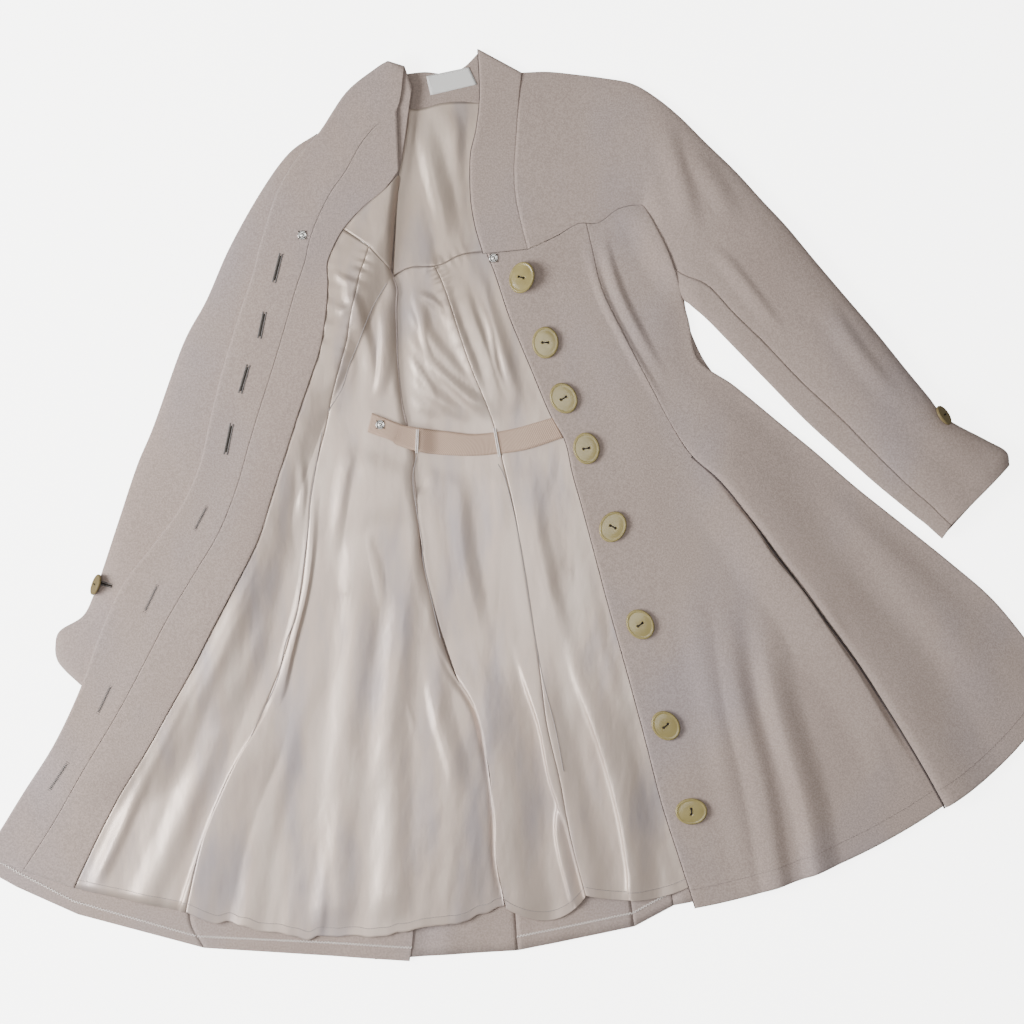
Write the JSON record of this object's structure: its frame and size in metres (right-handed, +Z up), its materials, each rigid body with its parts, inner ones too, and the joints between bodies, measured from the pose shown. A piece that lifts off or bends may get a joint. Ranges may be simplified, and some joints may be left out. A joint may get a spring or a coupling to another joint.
{
  "type": "a-line coat",
  "caption": "Lined A-line wool coat lying open on its back, with a band collar, cut-on sleeves with flared cuffs, oval front buttons and a waist ribbon inside.",
  "frame": {"origin": "middle of the laid coat's footprint, on the surface it lies on", "axes": "+Z up off the surface, +Y from the hem to the collar, +X to the wearer's left, towards the sleeve that lies closed"},
  "size_m": [1.188, 1.002, 0.0269],
  "materials": {
    "wool": "matt wool crepe, mauve-taupe",
    "satin": "satin lining, soft sheen",
    "ribbon": "ribbed grosgrain, dusty pink",
    "label": "white woven satin, bare",
    "button": "polished, olive",
    "snap": "nickel-bright press stud"
  },
  "bodies": {
    "root": {"back_yoke": "wool", "back_right": "wool", "back_center": "wool", "back_left": "wool", "back_left_side": "wool", "right_front": "wool", "right_side_front": "wool", "right_yoke": "wool", "right_upper_sleeve": "wool", "right_under_sleeve": "wool", "front_band_facing": "wool", "front_inner_facing": "wool", "collar_back": "wool", "collar_band_left": "wool", "left_front": "wool", "left_side_front": "wool", "left_yoke_sleeve": "wool", "left_under_sleeve": "wool", "lining_back_yoke": "satin", "lining_back_center": "satin", "lining_back_left": "satin", "lining_right_yoke": "satin", "lining_right_front": "satin", "lining_right_side": "satin", "waist_ribbon": "ribbon", "neck_label": "label", "button_1": "button", "button_2": "button", "button_3": "button", "button_4": "button", "button_5": "button", "button_6": "button", "button_7": "button", "button_8": "button", "cuff_button_left": "button", "cuff_button_right": "button", "snap_left_front": "snap", "snap_right_facing": "snap", "snap_ribbon": "snap"}
  },
  "joints": []
}
